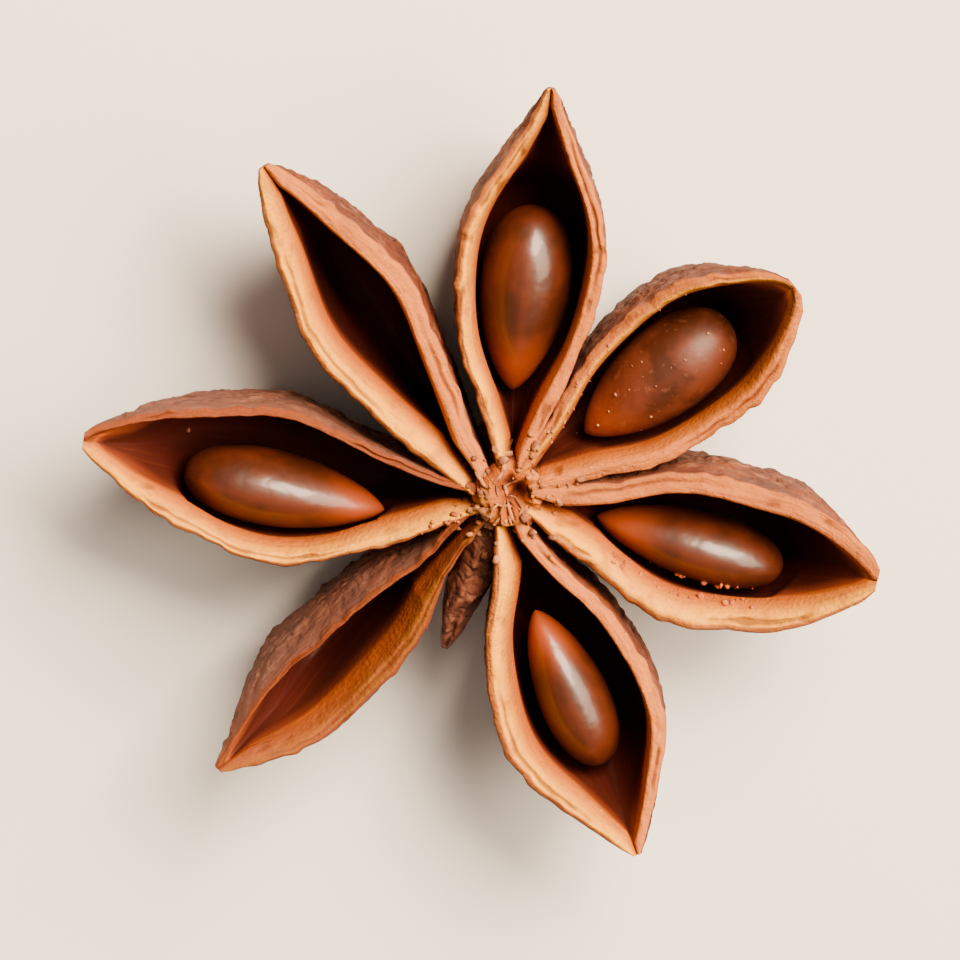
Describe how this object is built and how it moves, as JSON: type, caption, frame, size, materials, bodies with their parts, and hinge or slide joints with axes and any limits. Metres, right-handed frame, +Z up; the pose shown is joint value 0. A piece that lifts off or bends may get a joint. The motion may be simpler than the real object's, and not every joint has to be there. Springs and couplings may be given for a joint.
{
  "type": "star anise pod",
  "caption": "Dried star anise pod: open boat-shaped carpels joined in a star round a short column, some holding a loose glossy seed.",
  "frame": {"origin": "middle of the pod's footprint, on the plane it rests on", "axes": "+Z up, out of the open mouths of the carpels; +Y along the carpel named north, +X towards the one named east"},
  "size_m": [0.0342, 0.0341, 0.0087],
  "materials": {
    "husk": "dry woody husk, matt wrinkled skin outside, smooth satin lining inside",
    "seed_coat": "hard glossy seed coat"
  },
  "bodies": {
    "root": {"pod": "husk", "seed_east": "seed_coat", "seed_north_east": "seed_coat", "seed_north": "seed_coat", "seed_west": "seed_coat", "seed_south_east": "seed_coat"}
  },
  "joints": []
}
